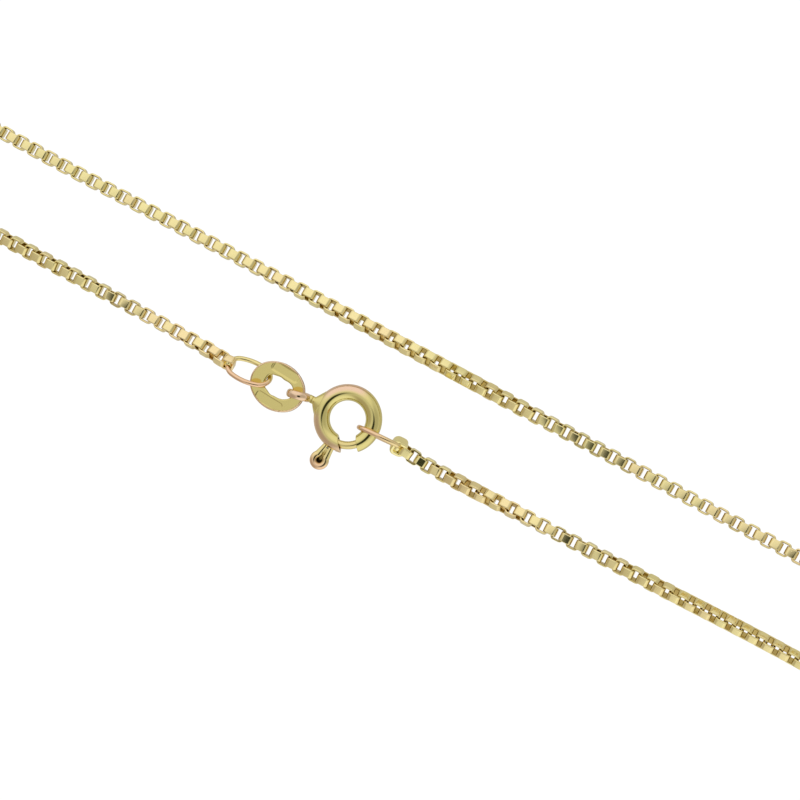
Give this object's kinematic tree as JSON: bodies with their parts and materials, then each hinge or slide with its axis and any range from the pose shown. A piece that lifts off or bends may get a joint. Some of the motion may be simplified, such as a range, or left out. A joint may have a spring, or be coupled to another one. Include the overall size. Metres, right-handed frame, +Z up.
{
  "type": "box chain necklace",
  "caption": "Box link chain necklace closed by a spring ring clasp, with wire jump rings and an oval tag link, lying flat as a whole loop.",
  "frame": {"origin": "under the middle of the closed loop, on the surface that the necklace lies on", "axes": "+X along the straight strands towards the end link on the clasp's bolt side, +Y from the clasp to the rear strand, +Z up"},
  "size_m": [0.2152, 0.0192, 0.0029],
  "materials": {
    "chain_gold": "polished pale yellow gold",
    "ring_gold": "polished pale gold wire, a little warmer",
    "clasp_gold": "polished pale yellow gold sheet and tube"
  },
  "bodies": {
    "necklace": {"chain_right": "chain_gold", "chain_left": "chain_gold", "end_link_right": "chain_gold", "end_link_left": "chain_gold", "hook_ring": "ring_gold", "tag_ring": "ring_gold", "tag_link": "clasp_gold", "clasp_body": "clasp_gold"},
    "bolt": {"clasp_bolt": "ring_gold"}
  },
  "joints": [
    {"name": "bolt_slide", "type": "hinge", "parent": "necklace", "child": "bolt", "pos_m": [-0.00308, -0.00347, 0.00135], "axis": [0, 0, 1], "range_deg": [-50, 0], "stiffness_Nm_per_rad": 0.002, "springref_deg": 57.3}
  ]
}
